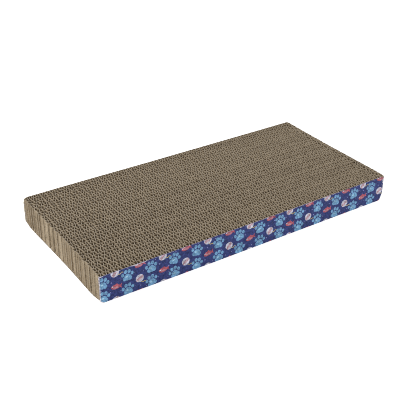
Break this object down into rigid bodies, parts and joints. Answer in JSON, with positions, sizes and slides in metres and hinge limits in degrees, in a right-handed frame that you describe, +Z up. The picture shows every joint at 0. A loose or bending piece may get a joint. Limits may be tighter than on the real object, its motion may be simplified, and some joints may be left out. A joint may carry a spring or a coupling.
{
  "type": "cardboard cat scratcher",
  "caption": "Flat rectangular scratching pad for cats: upright corrugated board strips glued side by side, open flutes on top and bottom, a printed paper sheet on each long side.",
  "frame": {"origin": "centre of the pad's bottom, on the surface that it lies on", "axes": "+X along the strips, +Z up, the printed front of the picture at -Y"},
  "size_m": [0.43, 0.2104, 0.036],
  "materials": {
    "kraft_board": "uncoated brown kraft paper, sawn edges",
    "printed_paper": "white-lined paper printed in blues, red and cream, satin",
    "glue": "dried water-based adhesive film"
  },
  "bodies": {
    "root": {"front_printed_sheet": "printed_paper", "strip_01": "kraft_board", "strip_02": "kraft_board", "strip_03": "kraft_board", "strip_04": "kraft_board", "strip_05": "kraft_board", "strip_06": "kraft_board", "strip_07": "kraft_board", "strip_08": "kraft_board", "strip_09": "kraft_board", "strip_10": "kraft_board", "strip_11": "kraft_board", "strip_12": "kraft_board", "strip_13": "kraft_board", "strip_14": "kraft_board", "strip_15": "kraft_board", "strip_16": "kraft_board", "strip_17": "kraft_board", "strip_18": "kraft_board", "strip_19": "kraft_board", "strip_20": "kraft_board", "strip_21": "kraft_board", "strip_22": "kraft_board", "strip_23": "kraft_board", "strip_24": "kraft_board", "strip_25": "kraft_board", "strip_26": "kraft_board", "strip_27": "kraft_board", "strip_28": "kraft_board", "strip_29": "kraft_board", "strip_30": "kraft_board", "strip_31": "kraft_board", "strip_32": "kraft_board", "strip_33": "kraft_board", "strip_34": "kraft_board", "back_printed_sheet": "printed_paper", "glue_films": "glue"}
  },
  "joints": []
}
